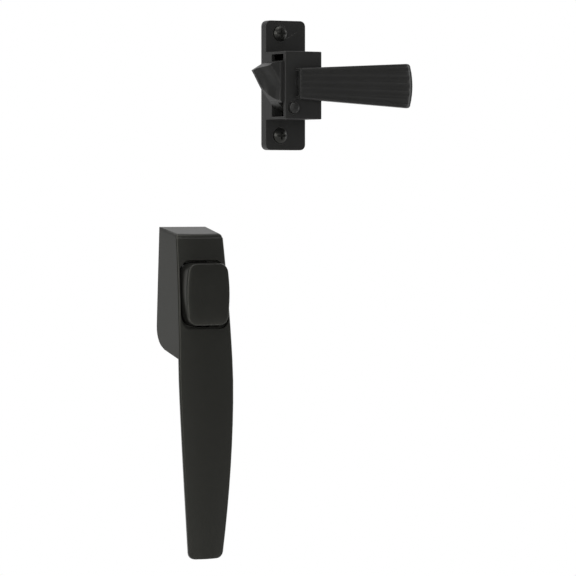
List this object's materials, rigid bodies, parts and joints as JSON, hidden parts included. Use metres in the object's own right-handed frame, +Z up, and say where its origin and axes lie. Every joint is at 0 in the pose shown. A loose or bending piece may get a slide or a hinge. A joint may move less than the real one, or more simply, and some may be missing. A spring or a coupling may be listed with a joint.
{
  "type": "pushbutton door latch",
  "caption": "Black storm door latch set: a long outside pull handle with a push button, and a separate inside latch with a wedge bolt, a fluted lever and a lock stud.",
  "frame": {"origin": "on the door's face, where the push button's and plunger's axis meets it, midway between the handle's two fixing posts", "axes": "+Z up along the handle, +Y into the door, so both castings stand on the plane Y = 0 and face -Y; +X to the right seen from the front, from the handle to the latch"},
  "size_m": [0.1156, 0.037, 0.231],
  "materials": {
    "black_casting": "satin black paint on a zinc casting",
    "black_button": "satin black paint on a zinc casting",
    "plated_steel": "bright zinc plating",
    "black_screws": "glossy black steel"
  },
  "bodies": {
    "fixed_castings": {"pull_handle": "black_casting", "guide_plate": "plated_steel", "upper_push_nut": "plated_steel", "lower_push_nut": "plated_steel", "button_spring": "plated_steel", "latch_case": "black_casting", "case_cover": "plated_steel", "upper_cover_screw": "plated_steel", "lower_cover_screw": "plated_steel", "upper_mounting_screw": "black_screws", "lower_mounting_screw": "black_screws", "bolt_spring": "plated_steel"},
    "button": {"push_button": "black_button", "plunger": "plated_steel", "plunger_pin": "plated_steel"},
    "lever_and_bolt": {"lever": "black_casting", "latch_bolt": "black_casting", "spindle_washer": "plated_steel", "spindle_push_nut": "plated_steel"},
    "lock": {"lock_stud": "black_casting", "lock_clip": "plated_steel"}
  },
  "joints": [
    {"name": "button_push", "type": "slide", "parent": "fixed_castings", "child": "button", "axis": [0, 1, 0], "range_m": [0, 0.0045], "stiffness_N_per_m": 500, "springref_m": -0.004, "deforming": ["button_spring"]},
    {"name": "lever_turn", "type": "hinge", "parent": "fixed_castings", "child": "lever_and_bolt", "pos_m": [0.0482, 0, 0.0903], "axis": [0, 1, 0], "range_deg": [0, 18], "stiffness_Nm_per_rad": 0.3, "springref_deg": -20.05, "deforming": ["bolt_spring"]},
    {"name": "lock_push", "type": "slide", "parent": "fixed_castings", "child": "lock", "axis": [0, 1, 0], "range_m": [0, 0.0015]}
  ]
}
